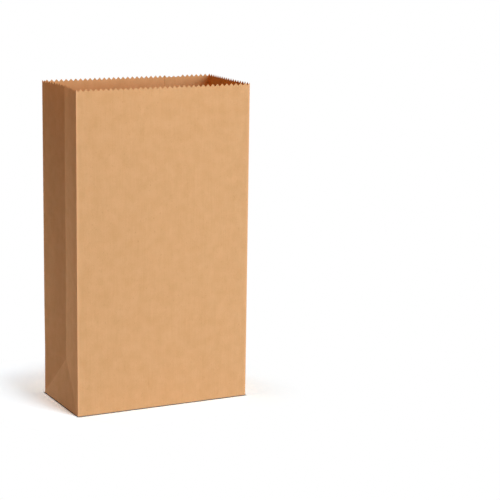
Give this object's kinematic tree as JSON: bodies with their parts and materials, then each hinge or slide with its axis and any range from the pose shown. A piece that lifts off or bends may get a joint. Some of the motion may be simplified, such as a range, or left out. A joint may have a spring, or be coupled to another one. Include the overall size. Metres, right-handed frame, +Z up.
{
  "type": "brown paper lunch bag",
  "caption": "Open kraft paper bag standing on a folded, glued block bottom, with creased side gussets, a lapped back seam and a saw-toothed mouth.",
  "frame": {"origin": "middle of the footprint, on the surface the bag stands on", "axes": "+Z up through the mouth, -Y out of the plain front panel, +Y out of the back panel with the glued lap, X across the front panel"},
  "size_m": [0.1524, 0.0784, 0.266],
  "materials": {
    "kraft_paper": "uncoated brown kraft paper, matt, with a faint machine grain and soft creases"
  },
  "bodies": {
    "root": {"paper_bag": "kraft_paper"}
  },
  "joints": []
}
